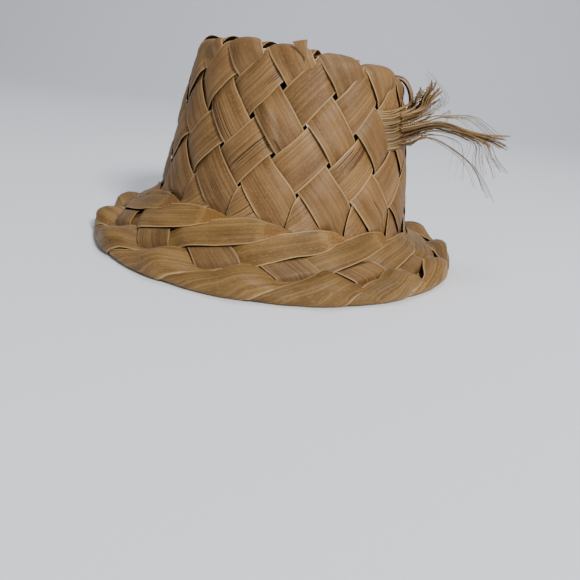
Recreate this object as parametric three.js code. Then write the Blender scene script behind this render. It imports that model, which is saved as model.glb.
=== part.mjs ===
// A plaited palm-leaf hat: tapering crown, short down-sloping braided brim, frayed tuft beside the top.
// Millimetres, +Z up. The hat stands on its rim; the crown leans back a little from that level.
import * as THREE from 'three';

const degree = Math.PI / 180;

// The leaves: one every 24 degrees round the head opening.
const leafCount = 15;
const leafTurn = 360 / leafCount;
const firstLeafAngle = -19.1;
const leafThickness = 0.5;
const leafSides = [-1, 0, 1]; // a leaf's section has its two edges and its midrib
const weaveRise = 0.8; // how far a strip stands off the woven surface, in or out, at a crossing

// Crown
const crownBaseRadius = 98;
const crownTopRadius = 78.4;
const crownHeight = 111.4;
const crownShift = -5.7; // the crown's top is this far to one side of its base
const rowsToRim = 2.51; // crossings of the weave between the brim and the top edge
const topEdgeRadius = 6;
const topEdgeRise = 1.8; // the strips that are on the outside at the top edge puff out this far
const topMarginRows = 0.62; // how far the strips run inward over the top

// Brim
const brimRadius = 139;
const brimShift = -2.6;
const brimDrop = 24.25;
const brimDropFront = 13.2;
const brimDropSide = -10.4;

// Braid of the brim: outgoing leaves cross returning leaves.
const outgoingSlope = 0.0122; // of the brim's width, per degree round the hat
const outgoingStart = 0.0134;
const returningSpan = 39.1; // degrees from the head opening to the rim
const returningBend = 0.38;
const leavesToRim = 5; // a leaf meets the rim where the fifth leaf before it leaves the head opening

// Share of the spacing that a strip's width fills, as a half width
const outgoingHalf = 0.42;
const returningHalf = 0.38;
const leftHalf = 0.42;
const rightHalf = 0.4;

const leafColour = 0xa5824b;
const undersideColour = 0xa5805a;

const group = new THREE.Group();
group.name = 'plaited_leaf_hat';

const coneAngle = Math.atan((crownBaseRadius - crownTopRadius) / crownHeight);
const slantLength = Math.hypot(crownBaseRadius - crownTopRadius, crownHeight);
const rowLength = slantLength / rowsToRim;
const topCrossing = Math.round(rowsToRim * 2);

function around(angle, radius, height, shift) {
  const turn = angle * degree;
  return new THREE.Vector3(shift + radius * Math.sin(turn), -radius * Math.cos(turn), height);
}

// A point of the crown: rows is measured up the wall, over the rounded top edge and inward; lift is outward.
function crownPoint(angle, rows, lift) {
  const bend = Math.PI / 2 - coneAngle;
  const edgeStart = slantLength - topEdgeRadius * Math.tan(bend / 2);
  const along = rows * rowLength;
  let radius;
  let height;
  let tilt = coneAngle;
  if (along < edgeStart) {
    radius = crownBaseRadius - along * Math.sin(coneAngle);
    height = along * Math.cos(coneAngle);
  } else {
    const arc = Math.min((along - edgeStart) / topEdgeRadius, bend);
    const inward = along - edgeStart - arc * topEdgeRadius;
    const centreRadius = crownTopRadius - topEdgeRadius * Math.tan(bend / 2);
    tilt = coneAngle + arc;
    radius = centreRadius + topEdgeRadius * Math.cos(tilt) - inward;
    height = crownHeight - topEdgeRadius + topEdgeRadius * Math.sin(tilt);
  }
  const shift = crownShift * height / crownHeight;
  return around(angle, radius + lift * Math.cos(tilt), height + lift * Math.sin(tilt), shift);
}

// A point of the brim: reach is 0 at the head opening and 1 at the rim; lift is upward, square to the brim.
function brimPoint(angle, reach, lift) {
  const turn = angle * degree;
  const drop = brimDrop + brimDropFront * Math.cos(turn) + brimDropSide * Math.sin(turn);
  const slope = Math.atan(drop / (brimRadius - crownBaseRadius));
  const radius = crownBaseRadius + (brimRadius - crownBaseRadius) * reach;
  return around(angle, radius + lift * Math.sin(slope), lift * Math.cos(slope) - drop * reach, brimShift * reach);
}

// Where outgoing leaf "out" crosses returning leaf "back"; both may be fractional.
function braidPlace(out, back) {
  const start = outgoingStart + outgoingSlope * leafTurn * (out - back);
  const straight = 1 - returningBend;
  const slope = straight + outgoingSlope * returningSpan;
  const share = (Math.sqrt(slope * slope + 4 * returningBend * Math.max(start, 0)) - slope) / (2 * returningBend);
  return {
    angle: leafAngle(back) + returningSpan * share,
    reach: straight * share + returningBend * share * share,
  };
}

function leafAngle(index) {
  return firstLeafAngle + leafTurn * index;
}

// The corners of a strip's section: along its lower face, then back along its upper face.
// edge(side) gives the strip's point at a lift above the surface, side running from -1 to 1 across the strip.
function section(edge, lift, sides = [-1, 1]) {
  const half = leafThickness / 2;
  const lower = sides.map((side) => edge(side)(lift - half));
  const upper = sides.map((side) => edge(side)(lift + half));
  return [...lower, ...upper.reverse()];
}

// A closed solid through a row of sections, its upper and lower faces divided along the same diagonals.
function solidThrough(sections) {
  const positions = [];
  const triangles = [];
  const ring = sections[0].length;
  const across = ring / 2;
  for (const corners of sections) {
    for (const corner of corners) {
      positions.push(corner.x, corner.y, corner.z);
    }
  }
  for (let i = 0; i + 1 < sections.length; i += 1) {
    for (let j = 0; j < ring; j += 1) {
      const a = ring * i + j;
      const b = ring * i + (j + 1) % ring;
      if (j < across) {
        triangles.push(a, b, b + ring, a, b + ring, a + ring);
      } else {
        triangles.push(a, b, a + ring, b, b + ring, a + ring);
      }
    }
  }
  const last = ring * (sections.length - 1);
  for (let j = 0; j + 1 < across; j += 1) {
    const [a, b, c, d] = [j, j + 1, ring - 2 - j, ring - 1 - j];
    triangles.push(a, c, b, a, d, c);
    triangles.push(last + a, last + b, last + c, last + a, last + c, last + d);
  }
  const geometry = new THREE.BufferGeometry();
  geometry.setAttribute('position', new THREE.Float32BufferAttribute(positions, 3));
  geometry.setIndex(facingOut(positions, triangles));
  geometry.computeVertexNormals();
  return geometry;
}

// Turns every triangle round when the solid they bound would be inside out.
function facingOut(positions, triangles) {
  let volume = 0;
  const corner = (index) => new THREE.Vector3().fromArray(positions, 3 * index);
  for (let i = 0; i < triangles.length; i += 3) {
    const a = corner(triangles[i]);
    const b = corner(triangles[i + 1]);
    const c = corner(triangles[i + 2]);
    volume += a.dot(b.cross(c));
  }
  return volume > 0 ? triangles : triangles.reverse();
}

function addPiece(name, geometry, colour, roughness = 0.7) {
  const material = new THREE.MeshStandardMaterial({ color: colour, roughness, metalness: 0 });
  const mesh = new THREE.Mesh(geometry, material);
  mesh.name = name;
  group.add(mesh);
}

// Places along a strip for a row of crossings: just before, at and just after each one.
function crossings(from, to, step) {
  const places = [];
  for (let at = from; (to - at) * step > -0.001; at += step) {
    places.push(at - 0.46 * step, at, at + 0.46 * step);
  }
  return places;
}

// The same up the crown, with more places where the strip bends over the top edge.
function crownPlaces() {
  const innerCrossing = Math.floor((rowsToRim + topMarginRows) * 2);
  const places = crossings(1, innerCrossing, 1).filter((place) => Math.abs(place - topCrossing) > 0.47);
  for (let step = -4; step <= 4; step += 1) {
    places.push(topCrossing + step * 0.115);
  }
  return places.sort((a, b) => a - b);
}

// A left-leaning strip of the crown, rising from returning leaf "back" of the brim to the top.
// Its upper face is turned inward, as it is folded over at the rim.
function leftLeaningSections(back) {
  const sections = [];
  for (const place of crownPlaces()) {
    const outside = Math.round(place) === topCrossing ? topEdgeRise : weaveRise;
    const lift = Math.round(place) % 2 === 1 ? outside : -weaveRise;
    const edge = (side) => (height) => {
      const rows = (place + side * leftHalf) / 2;
      return crownPoint(leafAngle(back) - leafTurn * (place - side * leftHalf) / 2, rows, height);
    };
    sections.push(section(edge, lift, leafSides));
  }
  return sections;
}

// A right-leaning strip of the crown, rising from the base of leaf "index".
function rightLeaningStrip(index) {
  const sections = [];
  for (const place of [0.06, 0.2, 0.46, ...crownPlaces()]) {
    const lift = Math.round(place) % 2 === 0 ? weaveRise : -weaveRise;
    const edge = (side) => (height) => {
      const half = rightHalf * Math.min(1, (place + 0.1) / (rightHalf + 0.1));
      const rows = (place + side * half) / 2;
      return crownPoint(leafAngle(index) + leafTurn * (place - side * half) / 2, Math.max(rows, 0.03), height);
    };
    sections.push(section(edge, lift, leafSides));
  }
  return solidThrough(sections);
}

// A long leaf: out over the brim from its base, round the rim, back through the braid and up the crown.
function brimLeaf(index) {
  const sections = [];
  const back = index - leavesToRim;

  const outgoing = (place, half, lift) => {
    const edge = (side) => (height) => {
      const spot = braidPlace(index + side * half, place);
      return brimPoint(spot.angle, spot.reach, height);
    };
    sections.push(section(edge, lift, leafSides));
  };
  outgoing(index - 0.02, 0.05, weaveRise);
  outgoing(index - 0.2, 0.25, weaveRise);
  outgoing(index - 0.42, outgoingHalf, weaveRise);
  for (const place of crossings(index - 1, index - 4, -1)) {
    const under = Math.round(place) === index - 3;
    outgoing(place, outgoingHalf, under ? -weaveRise : weaveRise);
  }

  const turnHeight = 2.4;
  const turnReach = 1.035;
  const turnAngle = braidPlace(index, back).angle;
  const turnEdge = (side) => (outward) => {
    return brimPoint(turnAngle, turnReach + outward / (brimRadius - crownBaseRadius), -side * turnHeight);
  };
  sections.push(section(turnEdge, 0, leafSides));

  const flipped = (corners) => corners.reverse();
  const returning = (place, lift) => {
    const edge = (side) => (height) => {
      const spot = braidPlace(place, back + side * returningHalf);
      return brimPoint(spot.angle, spot.reach, height);
    };
    sections.push(flipped(section(edge, lift, leafSides)));
  };
  returning(back + 4.5, -weaveRise);
  for (const place of crossings(back + 4, back + 1, -1)) {
    const over = Math.round(place) === back + 3;
    returning(place, over ? weaveRise : -weaveRise);
  }

  const openingEdge = (side) => (height) => {
    const half = side * 0.42;
    return crownPoint(leafAngle(back) + leafTurn * half / 2, 0.02, height);
  };
  sections.push(flipped(section(openingEdge, -weaveRise, leafSides)));
  for (const corners of leftLeaningSections(back)) {
    sections.push(flipped(corners));
  }
  return solidThrough(sections);
}

for (let i = 0; i < leafCount; i += 1) {
  const number = String(i + 1).padStart(2, '0');
  addPiece(`brim_leaf_${number}`, brimLeaf(i), leafColour);
  addPiece(`crown_leaf_${number}`, rightLeaningStrip(i), undersideColour);
}

// The flat top inside the turned-over margin: straight strips plaited one over, one under.
const topStripCount = 5;
const topStripSpacing = 24.4;
const topStripWidth = 22.4;
const topPlaitRadius = 64;
const topPlaitDepth = 2.7;

function topStrip(index, lengthwise) {
  const offset = (index - (topStripCount - 1) / 2) * topStripSpacing;
  const halfWidth = topStripWidth / 2;
  const halfLength = Math.sqrt(topPlaitRadius ** 2 - (Math.abs(offset) + halfWidth) ** 2);
  const sections = [];
  const place = (along, height, side) => {
    const across = offset + side * halfWidth;
    const x = lengthwise ? across : along;
    const y = lengthwise ? along : across;
    return new THREE.Vector3(crownShift + x, y, crownHeight - topPlaitDepth + height);
  };
  const stops = [[-halfLength, -1]];
  for (let crossing = 0; crossing < topStripCount; crossing += 1) {
    const middle = (crossing - (topStripCount - 1) / 2) * topStripSpacing;
    const over = (index + crossing + (lengthwise ? 1 : 0)) % 2 === 0 ? 1 : -1;
    for (const part of [-0.47, 0.47]) {
      stops.push([middle + part * topStripSpacing, over]);
    }
  }
  const inside = stops.filter(([along]) => Math.abs(along) < halfLength - 1);
  const first = [-halfLength, inside[0][1]];
  const last = [halfLength, inside[inside.length - 1][1]];
  for (const [along, over] of [first, ...inside, last]) {
    const edge = (side) => (height) => place(along, height, side);
    sections.push(section(edge, over * weaveRise));
  }
  return solidThrough(sections);
}

for (let i = 0; i < topStripCount; i += 1) {
  addPiece(`top_strip_across_${i + 1}`, topStrip(i, false), undersideColour);
  addPiece(`top_strip_lengthwise_${i + 1}`, topStrip(i, true), undersideColour);
}

// The hoop inside the head opening, split from the midrib of the palm frond.
const hoopOuterRadius = 95.2;
const hoopThickness = 2.6;
const hoopHalfHeight = 5.5;

function headHoop() {
  const profile = [
    new THREE.Vector2(hoopOuterRadius, -hoopHalfHeight),
    new THREE.Vector2(hoopOuterRadius, hoopHalfHeight),
    new THREE.Vector2(hoopOuterRadius - hoopThickness, hoopHalfHeight),
    new THREE.Vector2(hoopOuterRadius - hoopThickness, -hoopHalfHeight),
    new THREE.Vector2(hoopOuterRadius, -hoopHalfHeight),
  ];
  const geometry = new THREE.LatheGeometry(profile, 60);
  geometry.rotateX(Math.PI / 2);
  return geometry;
}

addPiece('head_hoop', headHoop(), 0x7c5a34, 0.6);

// Two strip ends arched over the top edge where the tuft comes out.
const tuftAngle = 84;

function rimLoop(angle, clearance, width, innerRadius) {
  const ends = [
    [innerRadius, crownHeight + 3 + clearance],
    [71, crownHeight + 4.2 + clearance],
    [79 + clearance, crownHeight + 2.3 + clearance],
    [84.2 + clearance, crownHeight - 6],
    [85.2 + clearance, crownHeight - 15],
    [85.4 + clearance, crownHeight - 23],
  ];
  const halfAngle = width / 2 / crownTopRadius / degree;
  const sections = [];
  for (let i = 0; i < ends.length; i += 1) {
    const before = ends[Math.max(i - 1, 0)];
    const after = ends[Math.min(i + 1, ends.length - 1)];
    const heading = new THREE.Vector2(after[0] - before[0], after[1] - before[1]).normalize();
    const [radius, height] = ends[i];
    const shift = crownShift * height / crownHeight;
    const edge = (side) => (lift) => {
      const out = radius - heading.y * lift;
      return around(angle + side * halfAngle, out, height + heading.x * lift, shift);
    };
    sections.push(section(edge, 0));
  }
  return solidThrough(sections);
}

addPiece('rim_loop_front', rimLoop(tuftAngle - 7, 0.4, 8, 60), undersideColour);
addPiece('rim_loop_back', rimLoop(tuftAngle + 5, 0, 9, 57), undersideColour);

// The tuft: a flat stem of gathered leaf ends, shredded into curling strands.
const tuftOut = new THREE.Vector3(Math.sin(tuftAngle * degree), -Math.cos(tuftAngle * degree), 0);
const tuftSide = new THREE.Vector3(Math.cos(tuftAngle * degree), Math.sin(tuftAngle * degree), 0);

function tuftPoint(out, height, side) {
  const point = tuftOut.clone().multiplyScalar(out).addScaledVector(tuftSide, side);
  point.x += crownShift * height / crownHeight;
  point.z = height;
  return point;
}

// A rod of square section along a smooth line of points.
function rodAlong(points, startWidth, endWidth, steps) {
  const curve = new THREE.CatmullRomCurve3(points, false, 'centripetal');
  const sections = [];
  for (let i = 0; i <= steps; i += 1) {
    const at = i / steps;
    const centre = curve.getPoint(at);
    const heading = curve.getTangent(at);
    const half = (startWidth + (endWidth - startWidth) * at) / 2;
    const side = new THREE.Vector3().crossVectors(heading, new THREE.Vector3(0.3, 1, 0.2)).normalize();
    const up = new THREE.Vector3().crossVectors(side, heading).normalize();
    const corner = (a, b) => centre.clone().addScaledVector(side, a * half).addScaledVector(up, b * half);
    sections.push([corner(-1, -1), corner(1, -1), corner(1, 1), corner(-1, 1)]);
  }
  return solidThrough(sections);
}

// How far out the crown's weave reaches at a height.
function wallRadius(height) {
  return crownBaseRadius - (crownBaseRadius - crownTopRadius) * height / crownHeight + weaveRise + leafThickness;
}

const stemMiddle = 85.5;
const stemLength = 7;

function tuftStem() {
  const sections = [];
  for (const [out, halfHeight, halfThickness] of [[0.5, 13.5, 1.2], [3, 12.2, 1.8], [stemLength, 11, 2.3]]) {
    const corner = (up, side) => {
      const height = stemMiddle + up * halfHeight;
      return tuftPoint(wallRadius(height) + out, height, side * halfThickness);
    };
    sections.push([corner(-1, -1), corner(-1, 1), corner(1, 1), corner(1, -1)]);
  }
  return solidThrough(sections);
}

addPiece('tuft_stem', tuftStem(), 0x8d6a42);

// Strand "index": rooted on the end of the stem, rising out and then drooping, the lower ones most.
const strandCount = 14;

function tuftStrand(index) {
  const share = index / (strandCount - 1);
  const side = index % 2 === 0 ? -1 : 1;
  const height = stemMiddle - 10 + 20 * share;
  const root = wallRadius(height) + stemLength + 0.6;
  const reach = 72 - 24 * share;
  const rise = 4 + 14 * share;
  const droop = 42 - 50 * share;
  const sway = side * (24 - 19 * share);
  const points = [
    tuftPoint(root, height, side * 1.2),
    tuftPoint(root + reach * 0.35, height + rise * 0.8, side * 1.2 + sway * 0.35),
    tuftPoint(root + reach * 0.72, height + rise - droop * 0.3, side * 1.2 + sway * 0.75),
    tuftPoint(root + reach, height + rise - droop, side * 1.2 + sway),
  ];
  return rodAlong(points, 1.2, 0.7, 7);
}

for (let i = 0; i < strandCount; i += 1) {
  addPiece(`tuft_strand_${String(i + 1).padStart(2, '0')}`, tuftStrand(i), 0x6f5030);
}

// Stand the hat on its rim: turn it until the brim's edge is level, then put the origin under its middle.
const rimNormal = new THREE.Vector3(brimDropSide / brimRadius, -brimDropFront / brimRadius, 1).normalize();
group.quaternion.setFromUnitVectors(rimNormal, new THREE.Vector3(0, 0, 1));
group.updateMatrixWorld(true);
const extent = new THREE.Box3().setFromObject(group, true);
const middle = extent.getCenter(new THREE.Vector3());
group.position.set(-middle.x, -middle.y, -extent.min.z);
group.updateMatrixWorld(true);

export default group;
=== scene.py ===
import math

import bpy
import numpy as np
from mathutils import Matrix, Vector


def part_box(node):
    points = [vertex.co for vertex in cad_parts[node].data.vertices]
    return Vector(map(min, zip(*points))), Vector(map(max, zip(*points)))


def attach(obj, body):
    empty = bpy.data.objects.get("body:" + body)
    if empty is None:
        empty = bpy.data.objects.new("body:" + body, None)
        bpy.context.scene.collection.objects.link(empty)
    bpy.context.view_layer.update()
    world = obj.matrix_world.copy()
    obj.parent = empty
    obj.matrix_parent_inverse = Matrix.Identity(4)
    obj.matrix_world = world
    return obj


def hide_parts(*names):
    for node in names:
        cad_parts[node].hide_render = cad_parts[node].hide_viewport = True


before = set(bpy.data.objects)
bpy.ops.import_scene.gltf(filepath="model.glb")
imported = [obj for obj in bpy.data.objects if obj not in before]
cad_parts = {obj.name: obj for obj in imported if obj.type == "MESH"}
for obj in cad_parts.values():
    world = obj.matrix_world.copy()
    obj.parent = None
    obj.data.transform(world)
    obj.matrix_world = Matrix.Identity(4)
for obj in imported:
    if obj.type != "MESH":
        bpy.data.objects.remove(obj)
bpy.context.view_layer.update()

# A hand-plaited palm-leaf hat. Lengths are in millimetres and angles in degrees until place() makes metres.
# "angle" runs round the hat from the front towards the tuft's side. "up" is measured along the hat's profile
# from the head opening: up the crown when it is positive, out over the brim when it is negative.

# The leaves: their bases stand evenly round the crown's foot. A leaf folds round the rim and comes back to
# the crown at the base of the leaf LEAVES_BACK before it.
LEAVES = 15
TURN = 360 / LEAVES
FIRST = -19.1
LEAVES_BACK = 5

# The crown, a truncated cone whose top stands a little off its foot's middle.
BASE_RADIUS = 98.0
TOP_RADIUS = 78.4
CROWN_HEIGHT = 111.4
CROWN_SHIFT = -5.7
ROWS_TO_TOP = 2.51
SLANT = math.hypot(BASE_RADIUS - TOP_RADIUS, CROWN_HEIGHT)
ROW = SLANT / ROWS_TO_TOP
CONE = math.atan((BASE_RADIUS - TOP_RADIUS) / CROWN_HEIGHT)
OPENING_BEND = 6.0
TOP_BEND = 6.0
PAST_TOP = 30.0

# The brim, which drops further at the front and less on the tuft's side.
BRIM_RADIUS = 139.0
BRIM_SHIFT = -2.6
BRIM_DROP = 24.25
BRIM_DROP_FRONT = 13.2
BRIM_DROP_SIDE = -10.4

# The braid: an outgoing leaf is at OUTGOING_REACH of the brim's width when it is OUTGOING_LAG degrees from
# its base, and gains OUTGOING_SLOPE of the width each degree. A returning leaf covers RETURN_SPAN degrees
# and bends by RETURN_BEND on the way.
OUTGOING_REACH = 0.1
OUTGOING_LAG = 7.1
OUTGOING_SLOPE = 0.0122
RETURN_SPAN = 39.1
RETURN_BEND = 0.38

# The top edge has sunk at the left and beside the tuft: how deep, at what angle, and how far to each side.
LEFT_SAG = 7.5
LEFT_SAG_ANGLE = -82
LEFT_SAG_SPREAD = 52
TUFT_SAG = 6.5
TUFT_SAG_ANGLE = 78
TUFT_SAG_SPREAD = 30
SAG_REACH = 24

# A leaf's thickness, how far it stands off at the crossings of the crown and the brim, the radius of its fold
# at the rim, and how far from the rim its two layers start to part.
THICKNESS = 0.42
WEAVE = 1.35
BRIM_WEAVE = 1.8
FOLD = 2.3
FOLD_LENGTH = math.pi * FOLD
FOLD_RUN_IN = 16

# The spacing of a leaf mesh's rows and of the points that its course passes on the crown, its columns, and
# the radii at which distances round the hat are measured.
LEAF_STEP = 1.5
CONTROL_STEP = 13.0
LEAF_COLUMNS = 19
CROWN_COLUMNS = 17
LEAF_GAUGE = BASE_RADIUS + 12
CROWN_GAUGE = BASE_RADIUS - 10

# The angle past which an edge is shaded sharp.
SHARP = math.radians(50)

# Each kind of piece has its own random draws, which start from these numbers.
LEAF_SEED = 100
CROWN_SEED = 300
TOP_SEED = 500
LENGTHWISE_SEED = 50
STRAND_SEED = 700
ROOT_SEED = 77
HOOP_SEED = 7

# The hat's own frame inside the standing frame: its axis leans so that the rim is level.
RIM_NORMAL = Vector((BRIM_DROP_SIDE / BRIM_RADIUS, -BRIM_DROP_FRONT / BRIM_RADIUS, 1)).normalized()
LEAN = RIM_NORMAL.rotation_difference(Vector((0, 0, 1))).to_matrix()
HOOP_LOW, HOOP_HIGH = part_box("head_hoop")
OPENING = (HOOP_LOW + HOOP_HIGH) / 2


def place(points):
    """Points of the hat's own frame, in millimetres, as metres in the standing frame."""
    return np.asarray(points) @ np.array(LEAN).T / 1000 + np.array(OPENING)


# --- the hat's surface ---------------------------------------------------------------------------

def corner(x, reach):
    """How far past a rounded corner x is; it eases in between -reach and reach."""
    return np.where(x < -reach, 0, np.where(x > reach, x, (x + reach) ** 2 / (4 * reach)))


def turned(x, reach):
    """The share of a rounded corner's turn that is done at x."""
    return np.clip((x + reach) / (2 * reach), 0, 1)


def brim_slant(angle):
    """The brim's width along its slope at an angle, and how far it drops."""
    turn = np.radians(angle)
    drop = BRIM_DROP + BRIM_DROP_FRONT * np.cos(turn) + BRIM_DROP_SIDE * np.sin(turn)
    return np.hypot(BRIM_RADIUS - BASE_RADIUS, drop), drop


def top_sag(angle, up):
    """How far the top edge has sunk at an angle and a place on the profile."""
    left = LEFT_SAG * hump(angle, LEFT_SAG_ANGLE, LEFT_SAG_SPREAD)
    beside_tuft = TUFT_SAG * hump(angle, TUFT_SAG_ANGLE, TUFT_SAG_SPREAD)
    return (left + beside_tuft) * hump(up, SLANT, SAG_REACH)


def surface(angle, up, lift, outward=0.0):
    """The hat's surface at an angle and a place on its profile, raised along its outer side."""
    turn = np.radians(angle)
    slant, drop = brim_slant(angle)
    brim = (-(BRIM_RADIUS - BASE_RADIUS) / slant, drop / slant)
    cone = (-math.sin(CONE), math.cos(CONE))
    past = corner(up, OPENING_BEND)
    over = corner(up - SLANT, TOP_BEND)
    at_opening = turned(up, OPENING_BEND)
    at_top = turned(up - SLANT, TOP_BEND)
    radius = BASE_RADIUS + brim[0] * (up - past) + cone[0] * (past - over) - over
    height = brim[1] * (up - past) + cone[1] * (past - over)
    run = brim[0] * (1 - at_opening) + cone[0] * (at_opening - at_top) - at_top
    rise = brim[1] * (1 - at_opening) + cone[1] * (at_opening - at_top)
    size = np.hypot(run, rise)
    run = run / size
    rise = rise / size
    shift = np.where(height > 0, CROWN_SHIFT * height / CROWN_HEIGHT, 0)
    shift = shift + np.where(up < 0, -BRIM_SHIFT * up / slant, 0)
    lift = lift - top_sag(angle, up)
    radius = radius + lift * rise - outward * run
    height = height - lift * run - outward * rise
    return np.stack([shift + radius * np.sin(turn), -radius * np.cos(turn), height], axis=-1)


def leaf_place(angle, along):
    """For a distance along a folded leaf: the brim's slant, whether it is past the fold, and its "up"."""
    slant, _ = brim_slant(angle)
    under = along > slant + FOLD_LENGTH / 2
    back = np.maximum(along - 2 * slant - FOLD_LENGTH, -slant)
    return slant, under, np.where(under, back, -np.minimum(along, slant))


def folded(angle, along, height):
    """A leaf that runs out over the brim, folds round the rim and comes back underneath and up the crown.
    "along" is the distance from the head opening over the fold; "height" is off the leaf's own upper face."""
    slant, _, up = leaf_place(angle, along)
    turn = np.clip((along - slant) / FOLD, 0, math.pi)
    near = np.clip(1 - (up + slant) / FOLD_RUN_IN, 0, 1)
    stand = FOLD * near * near * (3 - 2 * near) + height
    return surface(angle, up, stand * np.cos(turn), stand * np.sin(turn))


# --- shared shapes ---------------------------------------------------------------------------------

def step(x, at, width=0.2):
    """0 before a place and 1 after it, with a smooth rise."""
    share = np.clip((x - at) / (2 * width) + 0.5, 0, 1)
    return share * share * (3 - 2 * share)


def hump(x, at, width):
    """1 at a place, falling smoothly to 0 at "width" on either side."""
    share = np.clip(1 - ((x - at) / width) ** 2, 0, 1)
    return share * share


def weave_wave(x):
    """A rounded square wave: 1 at even whole numbers and -1 at odd ones."""
    return np.tanh(2.1 * np.cos(math.pi * x)) / math.tanh(2.1)


def wobble(random, x, length):
    """A smooth irregular line of about -1 to 1."""
    total = 0
    for share in (1.0, 0.57, 0.31):
        total = total + share * np.sin(2 * math.pi * x / (length * share) + random.uniform(0, 2 * math.pi))
    return total / 1.6


def unit(vectors):
    """The same directions with a length of 1."""
    return vectors / np.maximum(np.linalg.norm(vectors, axis=-1, keepdims=True), 1e-9)


def distances(line):
    """The distance from a line's first point to each of its points."""
    return np.concatenate([[0], np.cumsum(np.linalg.norm(np.diff(line, axis=0), axis=1))])


def smooth_line(points, spacing):
    """A smooth line through points, with samples about "spacing" apart in its first two numbers."""
    points = np.array(points, float)
    ends = np.vstack([2 * points[0] - points[1], points, 2 * points[-1] - points[-2]])
    dense = []
    share = np.linspace(0, 1, 24, endpoint=False)[:, None]
    for a, b, c, d in zip(ends, ends[1:], ends[2:], ends[3:]):
        dense.append(0.5 * (2 * b + (c - a) * share + (2 * a - 5 * b + 4 * c - d) * share ** 2
                            + (3 * b - a - 3 * c + d) * share ** 3))
    dense.append(points[-1:])
    dense = np.vstack(dense)
    travelled = distances(dense[:, :2])
    count = max(int(travelled[-1] / spacing), 8)
    wanted = np.linspace(0, travelled[-1], count + 1)
    return np.stack([np.interp(wanted, travelled, dense[:, k]) for k in range(points.shape[1])], axis=1)


# --- meshes ----------------------------------------------------------------------------------------

def smooth_mesh(name, points, faces):
    """A smooth-shaded mesh from points of the hat's own frame."""
    mesh = bpy.data.meshes.new(name)
    mesh.from_pydata(place(points).tolist(), [], faces)
    mesh.polygons.foreach_set("use_smooth", [True] * len(faces))
    return mesh


def mark_mesh(mesh, flat, marks):
    """Puts each vertex's place along and across its strip in the UVs, and its marks in attributes."""
    corners = np.zeros(len(mesh.loops), int)
    mesh.loops.foreach_get("vertex_index", corners)
    uv = mesh.uv_layers.new(name="strip")
    uv.data.foreach_set("uv", np.array(flat)[corners].ravel())
    for key, value in marks.items():
        attribute = mesh.attributes.new(key, "FLOAT", "POINT")
        attribute.data.foreach_set("value", np.array(value, np.float32))


def leaf_mesh(name, middle, along, across, half, marks, upper_first=True):
    """A thin closed strip round a grid of middle points, with its sizes as UVs and its marks as attributes.
    upper_first says that the side that the grid's normal points to is the leaf's upper face."""
    rows, columns = middle.shape[:2]
    first = np.gradient(middle, axis=0)
    second = np.gradient(middle, axis=1)
    normal = unit(np.cross(second, first))
    edge = 1 - 0.5 * np.abs(across) ** 8
    offset = normal * (THICKNESS / 2 * edge)[..., None]
    points = np.concatenate([(middle + offset).reshape(-1, 3), (middle - offset).reshape(-1, 3)])
    index = np.arange(rows * columns).reshape(rows, columns)
    total = rows * columns
    quads = np.stack([index[:-1, :-1], index[:-1, 1:], index[1:, 1:], index[1:, :-1]], axis=-1)
    quads = quads.reshape(-1, 4)
    outline = np.concatenate([index[0, :-1], index[:-1, -1], index[-1, :0:-1], index[:0:-1, 0]])
    after = np.roll(outline, -1)
    walls = np.stack([after, outline, outline + total, after + total], axis=-1)
    faces = np.concatenate([quads, quads[:, ::-1] + total, walls])
    mesh = smooth_mesh(name, points, faces.tolist())
    mesh.set_sharp_from_angle(angle=SHARP)
    flat = np.concatenate([np.stack([along, across * half], axis=-1).reshape(-1, 2)] * 2)
    lower = np.repeat([0.0, 1.0] if upper_first else [1.0, 0.0], total)
    values = {"lower_face": lower, "edge": np.tile(np.abs(across).ravel(), 2)}
    for key, value in marks.items():
        values[key] = np.tile(np.broadcast_to(value, (rows, columns)).ravel(), 2)
    mark_mesh(mesh, flat, values)
    return mesh


def add_piece(mesh, node, material):
    """Puts a mesh in the scene under its own name, in place of a node of the CAD model."""
    piece = bpy.data.objects.new(mesh.name, mesh)
    bpy.context.scene.collection.objects.link(piece)
    mesh.materials.append(material)
    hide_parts(node)
    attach(piece, "root")


def strip_grid(line, columns, radius):
    """The grid of a strip round its centre line of (distance round, distance along, half width)."""
    ahead = unit(np.gradient(line[:, :2], axis=0))
    across = np.linspace(-1, 1, columns)[None, :]
    half = line[:, 2:3]
    angle = np.degrees((line[:, 0:1] + ahead[:, 1:2] * half * across) / radius)
    along = line[:, 1:2] - ahead[:, 0:1] * half * across
    travelled = distances(line[:, :2])[:, None]
    return angle, along, travelled + 0 * across, across + 0 * half, half + 0 * across


# --- the leaves ------------------------------------------------------------------------------------

def strip_spacing(up):
    """The distance between neighbouring crown strips, square to them."""
    radius = BASE_RADIUS - np.clip(up, 0, SLANT) * math.sin(CONE) - np.maximum(up - SLANT, 0)
    sideways = math.radians(TURN) * radius
    return sideways * np.cos(np.arctan2(sideways / 2, ROW / 2))


def left_index(angle, up):
    """Which of the crown's strips that lean left is here; between two of them it isn't a whole number."""
    return (angle + TURN * up / ROW - FIRST) / TURN


def right_index(angle, up):
    """Which of the crown's strips that lean right is here."""
    return (angle - TURN * up / ROW - FIRST) / TURN


def outgoing_index(angle, reach):
    """Which leaf on its way out is here, at a share of the brim's width."""
    start = (reach + OUTGOING_SLOPE * angle - OUTGOING_REACH) / OUTGOING_SLOPE + OUTGOING_LAG
    return (start - FIRST) / TURN


def returning_index(angle, reach):
    """Which leaf on its way back is here, numbered by the base that it comes back to."""
    straight = 1 - RETURN_BEND
    course = (np.sqrt(straight * straight + 4 * RETURN_BEND * reach) - straight) / (2 * RETURN_BEND)
    return (angle - RETURN_SPAN * course - FIRST) / TURN


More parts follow.
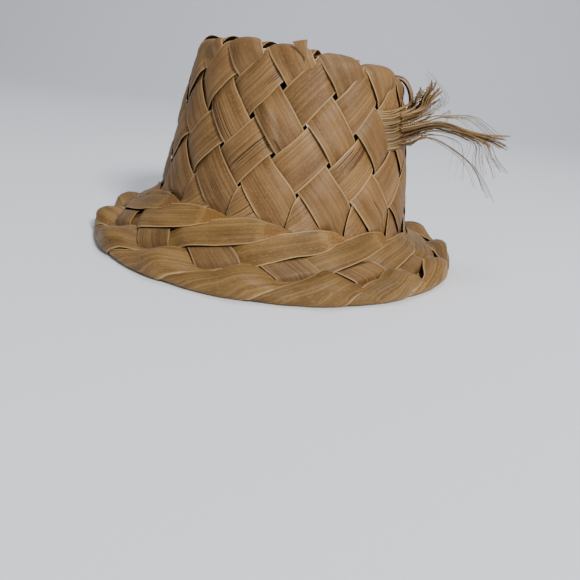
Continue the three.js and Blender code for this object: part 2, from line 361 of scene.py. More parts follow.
def creases(random, across, travelled, half):
    """Shallow lengthwise pleats and a slow unevenness, in millimetres."""
    width = across * half
    pleats = 0.11 * wobble(random, width + 0.02 * travelled, 7.5) + 0.05 * wobble(random, width, 2.6)
    return pleats + 0.25 * wobble(random, travelled + 0.7 * width, 38)


def split_mark(along, across, places):
    """Where a strip has split lengthwise: 0 to 1, round places given as (along, reach, across)."""
    total = 0 * (along + across)
    for at, reach, side in places:
        total = np.maximum(total, hump(along, at, reach) * hump(across, side, 0.55))
    return total


# How often a strip has split, and how far the strips' tones differ.
SPLIT_CHANCE = 0.4
TONE_SPREAD = 0.5


def random_splits(random, first, last):
    """A split place on about two strips in five."""
    places = []
    if random.uniform() < SPLIT_CHANCE:
        places.append((random.uniform(first, last), random.uniform(8, 20), random.uniform(-0.8, 0.8)))
    return places


# The splits at the front of the hat, by strip number, as places for split_mark, and the pleated leaf.
RIGHT_LEANING_SPLITS = {1: [(52, 15, -0.5)], 0: [(8, 12, 0.2)]}
LEAF_SPLITS = {5: [(16, 22, -0.5), (64, 18, -0.4)], 8: [(18, 14, 0.3)]}
PLEATED_LEAF = 7


def right_leaning_strip(number, material):
    """A crown strip that rises to the right from the base of its leaf and over the top edge."""
    name = f"crown_strip_right_{number + 1:02d}"
    random = np.random.default_rng(CROWN_SEED + number)
    share = random.uniform(0.42, 0.46)
    start = FIRST + TURN * number
    controls = []
    for up in np.arange(-2, SLANT + PAST_TOP, CONTROL_STEP):
        widening = min(1, 0.25 + max(up, 0) / 16)
        around = math.radians(start + TURN * up / ROW) * CROWN_GAUGE
        sway = 0.35 * random.normal()
        fill = share + 0.08 * step(up, SLANT - 4, 8)
        half = fill * strip_spacing(up) * widening * (1 + 0.025 * random.normal())
        controls.append((around + sway, up, half))
    line = smooth_line(controls, LEAF_STEP)
    angle, up, travelled, across, half = strip_grid(line, CROWN_COLUMNS, CROWN_GAUGE)
    over = weave_wave(left_index(angle, up) - number)
    cupped = (0.55 + 0.25 * over) * (1 - across ** 2) * 1.1
    curled_edge = 0.7 * np.clip(across, 0, 1) ** 3 * np.clip(over, 0, 1)
    swollen_top = 2.4 * hump(up, SLANT + 2, 16)
    lift = WEAVE * over + cupped + curled_edge + swollen_top
    lift = lift + creases(random, across, travelled, half)
    middle = surface(angle, up, lift)
    places = RIGHT_LEANING_SPLITS.get(number) or random_splits(random, 5, SLANT - 5)
    marks = {
        "tone": random.normal() * TONE_SPREAD, "seed": 20 + number * 3.7, "wedge": 0,
        "split": split_mark(up, across, places),
    }
    mesh = leaf_mesh(name, middle, travelled, across, half, marks, False)
    add_piece(mesh, f"crown_leaf_{number + 1:02d}", material)


# How high a leaf domes beside the rim, and its length of orange-brown husk at the base.
FAN_HEIGHT = 6.2
HUSK_LENGTH = 21

# A brim leaf's course: degrees from its base, share of the brim's width (over 1 is underneath), half width.
LEAF_COURSE = [
    (0, 0.055, 0.6), (-4, 0.07, 3.2), (-9, 0.1, 7.2), (-16, 0.165, 10), (-24, 0.26, 10.8), (-34, 0.385, 10.8),
    (-44, 0.54, 10.8), (-50, 0.65, 11.6), (-56, 0.77, 12.4), (-60, 0.86, 12.6), (-64, 0.94, 11.8),
    (-69, 1.0, 10.2), (-75, 1.04, 8.6), (-81, 1.08, 7.8), (-85, 1.13, 8.4), (-89, 1.24, 9.8), (-93, 1.37, 11),
    (-99.8, 1.57, 11.8), (-108, 1.77, 12),
]


def leaf_distance(angle, share):
    """The distance along a leaf from the head opening, out and back, at a share of the brim's width."""
    slant, _ = brim_slant(angle)
    return share * slant + FOLD_LENGTH * np.clip((share - 1) / 0.08, 0, 1)


def looseness(angle):
    """The braid stands loose on the right of the front: 0 to 1."""
    return hump(angle, 50, 40)


def brim_leaf_line(number, random):
    """A brim leaf's centre line of (distance round, distance along, half width)."""
    start = FIRST + TURN * number
    share = random.uniform(0.445, 0.475)
    controls = []
    for turn, reach, half in LEAF_COURSE:
        angle = start + turn
        loose = 0.5 + 1.9 * looseness(angle)
        slack = loose * random.normal() if -70 < turn < -8 else 0
        width = half * (1 + 0.05 * random.normal())
        controls.append((math.radians(angle) * LEAF_GAUGE, leaf_distance(angle, reach) + slack, width))
    for up in [4, *np.arange(16, SLANT + PAST_TOP, CONTROL_STEP)]:
        angle = start - LEAVES_BACK * TURN - TURN * up / ROW
        half = (share + 0.07 * step(up, SLANT - 4, 8)) * strip_spacing(up) * (1 + 0.02 * random.normal())
        around = math.radians(angle) * LEAF_GAUGE + 0.3 * random.normal()
        controls.append((around, leaf_distance(angle, 2.0) + up, half))
    return smooth_line(controls, LEAF_STEP)


def outgoing_lift(crossed, across, weave):
    """How high a leaf lies on its way out, where it has crossed so many returning leaves: over them all but
    the third, with its edges raised along the braid and a dome beside the rim."""
    over = 1 - 2 * (step(crossed, 2.5) - step(crossed, 3.5))
    braided = step(crossed, 0.3, 0.3) * (1 - step(crossed, 3.4, 0.6))
    curled_edge = 2.6 * np.clip(-across, 0, 1) ** 2 * (1 - step(crossed, 1.8, 0.9))
    lift = weave * over + 0.9 * (1 - across ** 2) + braided * (0.9 * across + curled_edge)
    return lift + FAN_HEIGHT * hump(crossed, 3.95, 0.6) * (1 - across ** 2)


def returning_lift(crossed, across, weave):
    """How high a leaf lies on its way back under the brim: it comes up over one outgoing leaf only."""
    over = -1 + 2 * (step(crossed, 2.5) - step(crossed, 3.5))
    return weave * over + 0.5 * (1 - across ** 2) * over


def left_leaning_lift(number, angle, up, across):
    """How high a leaf lies on the crown, with its lower edge curled out and a swelling at the top edge."""
    over = -weave_wave(right_index(angle, up) - (number - LEAVES_BACK))
    cupped = (0.6 + 0.3 * over) * (1 - across ** 2) * 1.3
    swollen_top = hump(up, SLANT - 3, 15) * (2.5 + 2.2 * across) * (1 - 0.4 * hump(across, 1.2, 0.5))
    curled_edge = np.clip(-across, 0, 1) ** 3 * np.clip(over, 0, 1)
    lift = WEAVE * over + cupped + swollen_top + curled_edge
    if number == PLEATED_LEAF:
        lift = lift + 2.4 * hump(across, -0.1 - (80 - up) / 36, 0.4) * hump(up, 66, 24)
    return lift


def brim_leaf(number, material):
    """A long leaf: out over the brim, round the rim, back through the braid and up the crown."""
    random = np.random.default_rng(LEAF_SEED + number)
    line = brim_leaf_line(number, random)
    angle, along, travelled, across, half = strip_grid(line, LEAF_COLUMNS, LEAF_GAUGE)
    slant, under, up = leaf_place(angle, along)
    reach = np.clip(-up / slant, 0, 1)
    crossed_back = number - returning_index(angle, reach)
    crossed_out = outgoing_index(angle, reach) - (number - LEAVES_BACK)
    weave = BRIM_WEAVE * (1 + 0.5 * looseness(angle))
    on_crown = step(up, 2, 6)
    back_lift = returning_lift(crossed_out, across, weave) * (1 - on_crown)
    back_lift = back_lift + left_leaning_lift(number, angle, up, across) * on_crown
    height = np.where(under, -back_lift, outgoing_lift(crossed_back, across, weave))
    near_fold = np.clip(1 - np.abs(along - slant - FOLD_LENGTH / 2) / 7, 0, 1)
    height_at_fold = 0.9 - 1.1 * step(crossed_back, 4.75, 0.3)
    height = height * (1 - near_fold) + height_at_fold * near_fold
    height = height + creases(random, across, travelled, half)
    places = LEAF_SPLITS.get(number) or random_splits(random, 5, SLANT - 5)
    marks = {
        # The returning layer below the outgoing leaves is darkened by 1.1 as painted shade of its recess; the
        # rest of the tone differs at random.
        "tone": random.normal() * TONE_SPREAD - 1.1 * np.where(under, 1 - on_crown, 0),
        "seed": number * 5.3,
        "wedge": step(-travelled, -HUSK_LENGTH, 8),
        "split": split_mark(up, across, places) * on_crown,
    }
    name = f"brim_strip_{number + 1:02d}"
    mesh = leaf_mesh(name, folded(angle, along, height), travelled, across, half, marks, False)
    add_piece(mesh, f"brim_leaf_{number + 1:02d}", material)


# --- materials -------------------------------------------------------------------------------------

def colour(red, green, blue):
    """A colour given on the usual 0 to 255 scale, as linear light."""
    return [*[(c / 255) ** 2.2 for c in (red, green, blue)], 1]


class MaterialNodes:
    """A new material whose nodes read the strips' UVs and marks."""

    def __init__(self, name):
        self.material = bpy.data.materials.new(name)
        self.material.use_nodes = True
        self.nodes = self.material.node_tree.nodes
        self.links = self.material.node_tree.links
        self.shader = self.nodes["Principled BSDF"]
        strip = self.nodes.new("ShaderNodeUVMap")
        strip.uv_map = "strip"
        self.place = self.nodes.new("ShaderNodeSeparateXYZ")
        self.links.new(strip.outputs[0], self.place.inputs[0])

    def feed(self, socket, value):
        """Gives a socket another node's output or a plain value."""
        if isinstance(value, bpy.types.NodeSocket):
            self.links.new(value, socket)
        else:
            socket.default_value = value

    def mark(self, key):
        """A number that the mesh carries on each vertex."""
        found = self.nodes.new("ShaderNodeAttribute")
        found.attribute_name = key
        return found.outputs["Fac"]

    def arithmetic(self, kind, first, second, clamp=False):
        """A sum or product of two values, held between 0 and 1 when it is clamped."""
        made = self.nodes.new("ShaderNodeMath")
        made.operation = kind
        made.use_clamp = clamp
        self.feed(made.inputs[0], first)
        self.feed(made.inputs[1], second)
        return made.outputs[0]

    def times(self, first, second):
        return self.arithmetic("MULTIPLY", first, second)

    def plus(self, first, second, clamp=False):
        return self.arithmetic("ADD", first, second, clamp)

    def grain(self, along, across, detail, depth):
        """Noise with these frequencies along and across the strip, cut through at a depth."""
        vector = self.nodes.new("ShaderNodeCombineXYZ")
        self.feed(vector.inputs[0], self.times(self.place.outputs[0], along))
        self.feed(vector.inputs[1], self.times(self.place.outputs[1], across))
        self.feed(vector.inputs[2], depth)
        noise = self.nodes.new("ShaderNodeTexNoise")
        noise.inputs["Scale"].default_value = 1
        noise.inputs["Detail"].default_value = detail
        self.links.new(vector.outputs[0], noise.inputs["Vector"])
        return noise.outputs["Fac"]

    def ramp(self, value, start, end):
        """0 where a value is at the start, 1 where it is at the end."""
        made = self.nodes.new("ShaderNodeMapRange")
        made.inputs["From Min"].default_value = start
        made.inputs["From Max"].default_value = end
        self.links.new(value, made.inputs["Value"])
        return made.outputs["Result"]

    def mix(self, share, first, second):
        """The first colour, with this share of the second over it. A mix node's colours are inputs 6 and 7."""
        made = self.nodes.new("ShaderNodeMix")
        made.data_type = "RGBA"
        self.feed(made.inputs[0], share)
        self.feed(made.inputs[6], first)
        self.feed(made.inputs[7], second)
        return made.outputs[2]

    def relief(self, height, distance):
        """Fine relief, with its depth in metres."""
        bump = self.nodes.new("ShaderNodeBump")
        bump.inputs["Strength"].default_value = 0.5
        bump.inputs["Distance"].default_value = distance
        self.links.new(height, bump.inputs["Height"])
        self.links.new(bump.outputs[0], self.shader.inputs["Normal"])


# The leaf's colours.
UPPER_DARK = colour(104, 78, 42)
UPPER_LIGHT = colour(138, 107, 62)
LOWER_DARK = colour(114, 84, 50)
LOWER_LIGHT = colour(142, 108, 68)
STREAK_DARK = colour(90, 60, 34)
STREAK_PALE = colour(176, 142, 94)
VEIN_DARK = colour(86, 56, 30)
HUSK_PALE = colour(172, 134, 78)
HUSK_BROWN = colour(106, 70, 30)
HUSK_SPECK = colour(176, 128, 66)
# A cut edge's own paleness, with a painted highlight where the raised edges catch the light.
EDGE_PALE_AND_HIGHLIGHT = colour(206, 172, 122)
# Painted shade for the gap seen where a strip has split.
SPLIT_SHADE_DARK = colour(40, 24, 12)


def leaf_faces(kit, clouds):
    """The two faces' colours, slowly uneven."""
    unevenness = kit.ramp(clouds, 0.35, 0.65)
    upper = kit.mix(unevenness, UPPER_DARK, UPPER_LIGHT)
    lower = kit.mix(unevenness, LOWER_DARK, LOWER_LIGHT)
    return kit.mix(kit.mark("lower_face"), upper, lower)


def leaf_streaks(kit, base, streaks, veins):
    """Dark and pale streaks along the leaf, with fine dark veins over them."""
    base = kit.mix(kit.times(kit.ramp(streaks, 0.45, 0.7), 0.45), base, STREAK_DARK)
    base = kit.mix(kit.times(kit.ramp(streaks, 0.5, 0.3), 0.3), base, STREAK_PALE)
    return kit.mix(kit.times(kit.ramp(veins, 0.5, 0.7), 0.4), base, VEIN_DARK)


def leaf_husk(kit, base, mottle, speckle):
    """The mottled brown husk at a leaf's base, with a pale border and pale specks."""
    wedge = kit.mark("wedge")
    husk = kit.plus(wedge, kit.times(mottle, 1.5))
    base = kit.mix(kit.times(kit.ramp(husk, 0.8, 1.1), 0.4), base, HUSK_PALE)
    base = kit.mix(kit.times(kit.ramp(husk, 1.2, 1.5), 0.75), base, HUSK_BROWN)
    specks = kit.times(kit.ramp(speckle, 0.5, 0.62), kit.ramp(wedge, 0.5, 0.9))
    return kit.mix(kit.times(specks, 0.45), base, HUSK_SPECK)


def leaf_edges_and_splits(kit, base, slivers):
    """Pale cut edges lightened further by a painted highlight, and thin slivers of painted shade where a strip
    has split open.
    """
    # Every edge is lightened all round: partly the cut edge's own paleness, partly a painted highlight.
    base = kit.mix(kit.times(kit.ramp(kit.mark("edge"), 0.9, 0.97), 0.45), base, EDGE_PALE_AND_HIGHLIGHT)
    # Where a strip has split, a thin dark sliver of painted shade stands for the gap.
    split_shade = kit.times(kit.ramp(slivers, 0.56, 0.6), kit.ramp(kit.mark("split"), 0.15, 0.4))
    return kit.mix(kit.times(split_shade, 0.9), base, SPLIT_SHADE_DARK)


def palm_leaf(name):
    """Dried leaf. Each kind of grain cuts the noise at its own depth, moved on by the leaf's seed."""
    kit = MaterialNodes(name)
    seed = kit.mark("seed")
    veins = kit.grain(0.01, 3.4, 2, kit.plus(seed, 0))
    streaks = kit.grain(0.004, 0.9, 3, kit.plus(seed, 7))
    clouds = kit.grain(0.03, 0.08, 2, kit.plus(seed, 13))
    mottle = kit.grain(0.5, 0.9, 5, kit.plus(seed, 19))
    slivers = kit.grain(0.006, 1.1, 1, kit.plus(seed, 31))
    speckle = kit.grain(0.9, 1.3, 3, kit.plus(seed, 43))
    base = leaf_faces(kit, clouds)
    base = leaf_streaks(kit, base, streaks, veins)
    base = leaf_husk(kit, base, mottle, speckle)
    base = leaf_edges_and_splits(kit, base, slivers)
    # The tone mark darkens or lightens strips at random, and also carries the painted shade on the returning
    # layers of the brim.
    tone = kit.nodes.new("ShaderNodeHueSaturation")
    kit.feed(tone.inputs["Color"], base)
    kit.feed(tone.inputs["Value"], kit.plus(kit.times(kit.mark("tone"), 0.16), 1.0))
    kit.feed(kit.shader.inputs["Base Color"], tone.outputs[0])
    kit.feed(kit.shader.inputs["Roughness"], kit.plus(kit.times(streaks, 0.25), 0.42))
    kit.feed(kit.shader.inputs["Specular IOR Level"], 0.32)
    kit.relief(kit.plus(veins, kit.times(streaks, 1.2)), 0.00022)
    return kit.material


def fibre_material(name, dark, light, roughness):
    """Plain long-grained fibre, for the hoop and the tuft."""
    kit = MaterialNodes(name)
    grain = kit.grain(0.03, 2.4, 4, 0)
    tint = kit.mix(kit.plus(grain, kit.mark("tone"), clamp=True), dark, light)
    kit.feed(kit.shader.inputs["Base Color"], tint)
    kit.feed(kit.shader.inputs["Roughness"], roughness)
    kit.relief(grain, 0.0002)
    return kit.material


# --- the flat top, the hoop and the rim loops ------------------------------------------------------

def wall_point(angle, height, out):
    """A point on the crown's wall, or out from it."""
    turn = math.radians(angle)
    radius = BASE_RADIUS - (BASE_RADIUS - TOP_RADIUS) * height / CROWN_HEIGHT + out
    shift = CROWN_SHIFT * height / CROWN_HEIGHT
    return np.array([shift + radius * math.sin(turn), -radius * math.cos(turn), height])


# The flat top's plait: strips each way, their spacing and half width, the circle that they fill, and how far
# they lie under the crown's height.
TOP_STRIPS = 5
TOP_SPACING = 24.4
TOP_HALF_WIDTH = 11.0
TOP_RADIUS_INSIDE = 64.0
TOP_DEPTH = 2.7


def top_strip(index, lengthwise, material):
    """A straight strip of the flat top's plait, under the turned-over ends of the crown's strips."""
    direction = "lengthwise" if lengthwise else "across"
    random = np.random.default_rng(TOP_SEED + index + (LENGTHWISE_SEED if lengthwise else 0))
    offset = (index - (TOP_STRIPS - 1) / 2) * TOP_SPACING
    width = TOP_HALF_WIDTH * random.uniform(0.97, 1.03)
    length = math.sqrt(TOP_RADIUS_INSIDE ** 2 - (abs(offset) + 11.2) ** 2)
    along = np.linspace(-length, length, max(int(length), 12))[:, None]
    across = np.linspace(-1, 1, 15)[None, :]
    cross = along / TOP_SPACING + (TOP_STRIPS - 1) / 2 + index + (1 if lengthwise else 0)
    lift = 0.75 * weave_wave(cross) + 0.25 * (1 - across ** 2) * weave_wave(cross)
    lift = lift + 0.5 * creases(random, across, along, width)
    side = offset + width * across + 0.25 * wobble(random, along, 45)
    x, y = (side, along + 0 * side) if lengthwise else (along + 0 * side, side)
    sunk = top_sag(np.degrees(np.arctan2(x, -y)), SLANT + TOP_RADIUS - np.hypot(x, y))
    middle = np.stack([CROWN_SHIFT + x, y, CROWN_HEIGHT - TOP_DEPTH + lift - sunk], axis=-1)
    seed = 90 + index * 2.9 + 20 * lengthwise
    marks = {"tone": random.normal() * TONE_SPREAD, "seed": seed, "wedge": 0, "split": 0}
    name = f"top_plait_{direction}_{index + 1}"
    grid = along + 0 * across
    mesh = leaf_mesh(name, middle, grid, across + 0 * along, width + 0 * grid, marks, not lengthwise)
    add_piece(mesh, f"top_strip_{direction}_{index + 1}", material)


ROD_SIDES = 6
ROD_STEP = 2.0


def rod_mesh(name, rods):
    """Closed tapering rods joined in one mesh. A rod is (points, widths, depths, tone, across direction)."""
    points = []
    faces = []
    flat = []
    tones = []
    for line, wide, deep, tone, across in rods:
        ahead = unit(np.gradient(line, axis=0))
        second = unit(np.cross(ahead, across))
        first = np.cross(second, ahead)
        travelled = distances(line)
        start = len(points)
        for k in range(len(line)):
            for side in range(ROD_SIDES):
                turn = 2 * math.pi * side / ROD_SIDES
                sideways = first[k] * wide[k] / 2 * math.cos(turn)
                points.append(line[k] + sideways + second[k] * deep[k] / 2 * math.sin(turn))
                flat.append((travelled[k], wide[k] * side / ROD_SIDES + start * 0.37))
                tones.append(tone)
        for k in range(len(line) - 1):
            for side in range(ROD_SIDES):
                a = start + k * ROD_SIDES + side
                b = start + k * ROD_SIDES + (side + 1) % ROD_SIDES
                faces.append((a, b, b + ROD_SIDES, a + ROD_SIDES))
        faces.append(tuple(range(start + ROD_SIDES - 1, start - 1, -1)))
        faces.append(tuple(range(len(points) - ROD_SIDES, len(points))))
    mesh = smooth_mesh(name, points, faces)
    mesh.set_sharp_from_angle(angle=SHARP)
    mark_mesh(mesh, flat, {"tone": tones})
    return mesh


HOOP_RADIUS = 93.7
HOOP_STEPS = 220
HOOP_SIDES = 20


def head_hoop(material):
    """The flat hoop inside the head opening, one length of split midrib closed on itself."""
    random = np.random.default_rng(HOOP_SEED)
    outline = []
    for side in range(HOOP_SIDES):
        turn = 2 * math.pi * side / HOOP_SIDES
        out = abs(math.cos(turn)) ** 0.6 * math.copysign(1.3, math.cos(turn))
        up = abs(math.sin(turn)) ** 0.35 * math.copysign(5.4, math.sin(turn))
        outline.append((out, up))
    phases = random.uniform(0, 2 * math.pi, 4)
    points = []
    flat = []
    for k in range(HOOP_STEPS):
        turn = 2 * math.pi * k / HOOP_STEPS
        wave = 0.35 * math.sin(3 * turn + phases[0]) + 0.2 * math.sin(7 * turn + phases[1])
        thin = 1 + 0.1 * math.sin(5 * turn + phases[2]) + 0.05 * math.sin(17 * turn + phases[3])
        for side, (out, up) in enumerate(outline):
            radius = HOOP_RADIUS + out * thin * 0.95
            points.append((radius * math.sin(turn), -radius * math.cos(turn), up * 0.97 + wave * 0.3))
            flat.append((turn * 94, side * 1.4))
    faces = []
    for k in range(HOOP_STEPS):
        for side in range(HOOP_SIDES):
            a = k * HOOP_SIDES + side
            b = k * HOOP_SIDES + (side + 1) % HOOP_SIDES
            c = (k + 1) % HOOP_STEPS * HOOP_SIDES
            faces.append((a, b, c + (side + 1) % HOOP_SIDES, c + side))
    mesh = smooth_mesh("head_hoop_band", points, faces)
    mesh.flip_normals()
    mark_mesh(mesh, flat, {"tone": np.zeros(len(points))})
    add_piece(mesh, "head_hoop", material)


# Where the tuft and its two rim loops stand.
TUFT_ANGLE = 84


def rim_loop(name, angle, clearance, width, inner_radius, material):
    """A strip end arched over the top edge beside the tuft."""
    random = np.random.default_rng(int(angle))
    arch = [
        (inner_radius, CROWN_HEIGHT + 1 + clearance), (70, CROWN_HEIGHT + 2.5 + clearance),
        (78 + clearance, CROWN_HEIGHT + 1.5 + clearance), (84 + clearance, CROWN_HEIGHT - 5),
        (86.5 + clearance, CROWN_HEIGHT - 14), (84.5 + clearance, CROWN_HEIGHT - 23),
    ]
    line = smooth_line(arch, 1.2)
    across = np.linspace(-1, 1, 9)[None, :]
    ahead = unit(np.gradient(line, axis=0))
    travelled = distances(line)[:, None]
    cup = 0.8 * (1 - across ** 2) + 0.15 * wobble(random, across * width / 2, 4)
    radius = line[:, 0:1] - ahead[:, 1:2] * cup
    height = line[:, 1:2] + ahead[:, 0:1] * cup
    twist = (travelled - travelled.mean()) * 0.12
    turn = np.radians(angle + np.degrees((across * width / 2 + twist) / TOP_RADIUS))
    shift = CROWN_SHIFT * height / CROWN_HEIGHT
    middle = np.stack([shift + radius * np.sin(turn), -radius * np.cos(turn), height], axis=-1)
    grid = travelled + 0 * across
    marks = {"tone": -0.6, "seed": angle, "wedge": 0, "split": 0}
    mesh = leaf_mesh(f"{name}_strip", middle, grid, across + 0 * grid, width / 2 + 0 * grid, marks)
    add_piece(mesh, name, material)


def turned_corner(material):
    """The corner of one strip, bent up over the top edge and hanging down outside it."""
    left = wall_point(-6, 116, 6)
    right = wall_point(0.5, 119, 7)
    tip = wall_point(1.5, 107, 7.5)
    down = np.linspace(0, 1, 14)[:, None]
    across = np.linspace(-1, 1, 11)[None, :]
    length = 14
    width = 1 - 0.94 * down
    bulge = 1.2 * (1 - across ** 2) * width * np.sin(math.pi * np.clip(down + 0.2, 0, 1))
    middle = (
        (left + right)[None, None, :] / 2 * (1 - down[..., None]) + tip * down[..., None]
        + (right - left) / 2 * (across * width)[..., None] + np.array([0, -1, 0]) * bulge[..., None]
    )
    size = np.linalg.norm(right - left) / 2
    grid = length * down + 0 * across
    marks = {"tone": 0.3, "seed": 41.0, "wedge": 0, "split": 0}
    mesh = leaf_mesh("turned_corner", middle, grid, across + 0 * down, size * width + 0 * across, marks)
    add_piece(mesh, "brim_leaf_09", material)


# --- the tuft --------------------------------------------------------------------------------------

# Where each strand goes, in the plane that the tuft hangs in: share of the root's height, then
# distance out and height of the points that it passes, then its width.
STRANDS = [
    (0.02, [(97, 76), (127, 68), (148, 56), (166, 39)], 1.1),
    (0.12, [(100, 79), (120, 78), (128, 69), (134, 50)], 0.8),
    (0.2, [(100, 82), (134, 80), (143, 68), (150, 57)], 1.0),
    (0.28, [(100, 84), (138, 80), (150, 68), (162, 54)], 1.0),
    (0.36, [(100, 85), (140, 82), (154, 71), (167, 62)], 1.1),
    (0.44, [(100, 86), (130, 84), (148, 83), (163, 80)], 1.9),
    (0.5, [(100, 88), (128, 86), (148, 86), (167, 88)], 2.0),
    (0.58, [(98, 90), (112, 95), (132, 97), (158, 87)], 1.1),
    (0.66, [(95, 91), (106, 95), (113, 100), (114, 92)], 0.8),
    (0.74, [(92, 93), (100, 99), (106, 108), (90, 124)], 0.8),
    (0.8, [(88, 93), (96, 102), (103, 107), (106, 100)], 1.0),
    (0.87, [(86, 94), (92, 103), (98, 110), (101, 113)], 2.0),
    (0.93, [(84, 95), (88, 104), (93, 113), (95, 118)], 2.2),
    (0.99, [(80, 95), (83, 103), (87, 109), (89, 112)], 2.0),
]
# The tuft's lowest and highest roots, its root threads, and the fibres in a strand of each width.
TUFT_LOW = 70.0
TUFT_HIGH = 91.0
ROOT_THREADS = 48
NARROW = 0.9
NARROW_FIBRES = 4
MEDIUM = 1.2
MEDIUM_FIBRES = 9
WIDE_FIBRES = 20


def through(points):
    """A smooth line in space through points."""
    points = np.array(points)
    lengths = distances(points)
    line = smooth_line(np.column_stack([lengths, 0 * lengths, points]), ROD_STEP)
    return line[:, 2:]


def fibres_in(width):
    """How many fibres a strand of this width has."""
    if width < NARROW:
        return NARROW_FIBRES
    if width < MEDIUM:
        return MEDIUM_FIBRES
    return WIDE_FIBRES


def tuft_strand(number, course, material):
    """One strand of the tuft: a few shredded fibres that start together and spread."""
    share, stops, width = course
    random = np.random.default_rng(STRAND_SEED + number)
    rods = []
    for fibre in range(fibres_in(width)):
        height = TUFT_LOW + (TUFT_HIGH - TUFT_LOW) * (share + 0.05 * random.uniform(-1, 1))
        root_angle = TUFT_ANGLE - 19 + random.uniform(-9, 8)
        root = wall_point(root_angle, height - 3, 4.6 + random.uniform(-0.5, 1.5))
        points = [root]
        spread = np.array([random.uniform(-2.2, 2.2), random.uniform(-4, 4), random.uniform(-2.2, 2.2)])
        reach = random.uniform(0.7, 1.0) if fibre else 1.0
        depth = random.uniform(-10, 6)
        for k, (out, up) in enumerate(stops):
            fade = (k + 1) / len(stops)
            aim = np.array([out, root[1] + (depth - root[1]) * fade, up]) + spread * fade
            points.append(root + (aim - root) * (1 - (1 - reach) * fade))
        line = through(points)
        size = width * (1.0 if fibre == 0 else random.uniform(0.45, 0.85))
        taper = np.linspace(1, 0.75, len(line)) * size
        rods.append((line, taper, taper * 0.45, random.uniform(-0.35, 0.3), np.array([0.2, 0.9, 0.4])))
    mesh = rod_mesh(f"tuft_fibres_{number + 1:02d}", rods)
    add_piece(mesh, f"tuft_strand_{number + 1:02d}", material)


def tuft_root(material):
    """The leaf end that the tuft is shredded from: narrow threads side by side over the wall, each from under
    a strip of the crown and out past the tuft's first bend."""
    random = np.random.default_rng(ROOT_SEED)
    rods = []
    for k in range(ROOT_THREADS):
        share = k / (ROOT_THREADS - 1)
        stray = np.array([0.5, 1.2, 2, 3]) * random.uniform(-1, 1, 4)
        heights = np.array([64, 68, 72, 77]) + np.array([24, 27, 30, 34]) * share + stray
        under = wall_point(50 - 10 * share, 61 + 25 * share, 0.8)
        over = wall_point(56 - 8 * share, heights[0], 3.6 + 0.9 * random.uniform(0, 1))
        middle = wall_point(66 - 3 * share, heights[1], 4.4 + 1.4 * random.uniform(0, 1))
        high = wall_point(TUFT_ANGLE - 6, heights[2], 7 + 3 * random.uniform(0, 1))
        end = wall_point(TUFT_ANGLE - 2, heights[3], 17 + random.uniform(-4, 7))
        line = through([under, over, middle, high, end])
        width = random.uniform(0.7, 1.3) * np.linspace(1, 0.6, len(line))
        rods.append((line, width, width * 0.4, random.uniform(-0.5, 0.2), np.array([0.1, 0.2, 1.0])))
    mesh = rod_mesh("tuft_root_threads", rods)
    add_piece(mesh, "tuft_stem", material)


# --- the whole hat ---------------------------------------------------------------------------------

leaf_material = palm_leaf("dried_palm_leaf")
hoop_material = fibre_material("split_midrib", colour(84, 58, 34), colour(140, 104, 64), 0.6)
tuft_material = fibre_material("shredded_leaf", colour(66, 46, 26), colour(184, 148, 96), 0.55)
for number in range(LEAVES):
    brim_leaf(number, leaf_material)
    right_leaning_strip(number, leaf_material)
for index in range(TOP_STRIPS):
    top_strip(index, False, leaf_material)
    top_strip(index, True, leaf_material)
head_hoop(hoop_material)
rim_loop("rim_loop_front", TUFT_ANGLE - 7, 0.4, 8, 60, leaf_material)
rim_loop("rim_loop_back", TUFT_ANGLE + 5, 0.0, 9, 57, leaf_material)
turned_corner(leaf_material)
tuft_root(tuft_material)
for number, course in enumerate(STRANDS):
    tuft_strand(number, course, tuft_material)


# --- floor, light and camera, in metres ------------------------------------------------------------

FLOOR_FRONT = -3.0
FLOOR_BACK = 1.2
FLOOR_BEND = 1.0
FLOOR_HALF_WIDTH = 5
WALL_TOP = 5.0


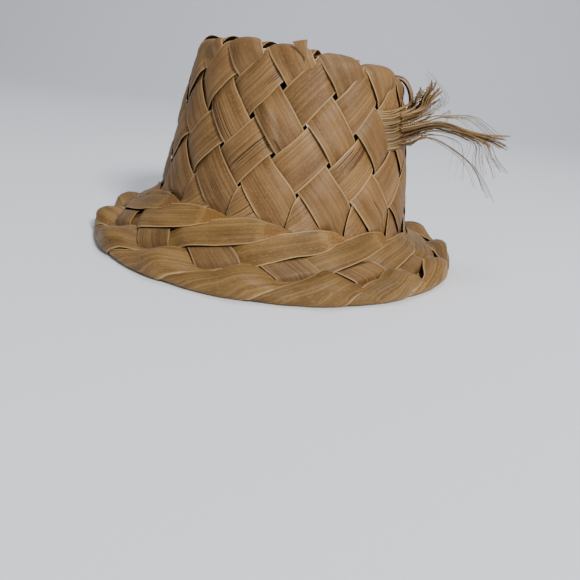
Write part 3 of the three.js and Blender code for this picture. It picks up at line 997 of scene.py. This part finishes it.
def stage_floor():
    """A pale floor that bends up into a wall behind the hat."""
    points = []
    faces = []
    profile = [(FLOOR_FRONT, 0.0), (FLOOR_BACK, 0.0)]
    for degrees in range(0, 91, 10):
        turn = math.radians(degrees)
        profile.append((FLOOR_BACK + FLOOR_BEND * math.sin(turn), FLOOR_BEND * (1 - math.cos(turn))))
    profile.append((FLOOR_BACK + FLOOR_BEND, WALL_TOP))
    for y, z in profile:
        points += [(-FLOOR_HALF_WIDTH, y, z), (FLOOR_HALF_WIDTH, y, z)]
    for i in range(len(profile) - 1):
        faces.append((2 * i, 2 * i + 1, 2 * i + 3, 2 * i + 2))
    mesh = bpy.data.meshes.new("floor")
    mesh.from_pydata(points, [], faces)
    mesh.polygons.foreach_set("use_smooth", [True] * len(faces))
    floor = bpy.data.objects.new("floor", mesh)
    bpy.context.scene.collection.objects.link(floor)
    material = bpy.data.materials.new("floor_paint")
    material.use_nodes = True
    shader = material.node_tree.nodes["Principled BSDF"]
    shader.inputs["Base Color"].default_value = colour(240, 243, 250)
    shader.inputs["Roughness"].default_value = 0.85
    mesh.materials.append(material)


def add_light(name, position, target, size, power, tint):
    """A round lamp that points at the target."""
    lamp = bpy.data.lights.new(name, "AREA")
    lamp.shape = "DISK"
    lamp.size = size
    lamp.energy = power
    lamp.color = tint
    light = bpy.data.objects.new(name, lamp)
    light.location = position
    light.rotation_euler = (Vector(target) - Vector(position)).to_track_quat("-Z", "Y").to_euler()
    bpy.context.scene.collection.objects.link(light)


def add_world():
    """A dim bluish light from all sides."""
    world = bpy.data.worlds.new("studio")
    world.use_nodes = True
    background = world.node_tree.nodes["Background"]
    background.inputs["Color"].default_value = (0.86, 0.92, 1.0, 1)
    background.inputs["Strength"].default_value = 0.2
    bpy.context.scene.world = world


# The viewing place, in millimetres, and directions in the hat's own frame. The lens and sensor are a camera's
# focal length and width in millimetres.
CAMERA_PLACE = (0.0, -492.06, 70.7)
CAMERA_RIGHT = Vector((0.98142, 0.01735, 0.19109))
CAMERA_DOWN = Vector((0.18847, -0.27382, -0.94313))
CAMERA_LENS = 37.24
CAMERA_SENSOR = 36


def add_camera():
    """The camera, placed and turned with the hat's own frame."""
    camera = bpy.data.objects.new("camera", bpy.data.cameras.new("camera"))
    camera.data.lens = CAMERA_LENS
    camera.data.sensor_width = CAMERA_SENSOR
    right = (LEAN @ CAMERA_RIGHT).normalized()
    upward = (LEAN @ -CAMERA_DOWN).normalized()
    behind = right.cross(upward).normalized()
    turn = Matrix((right, upward, behind)).transposed().to_4x4()
    camera.matrix_world = Matrix.Translation(Vector(place(CAMERA_PLACE))) @ turn
    bpy.context.scene.collection.objects.link(camera)
    bpy.context.scene.camera = camera


stage_floor()
add_world()
add_light("window", (0.95, -1.45, 1.5), (0, 0, 0.08), 0.5, 54, (1.0, 0.98, 0.95))
add_light("fill", (-1.8, -1.4, 0.9), (0, 0, 0.08), 1.6, 5, (0.88, 0.94, 1.0))
add_light("above", (0.2, 0.5, 2.0), (0, 0, 0.1), 1.0, 14, (1.0, 1.0, 1.0))
add_camera()
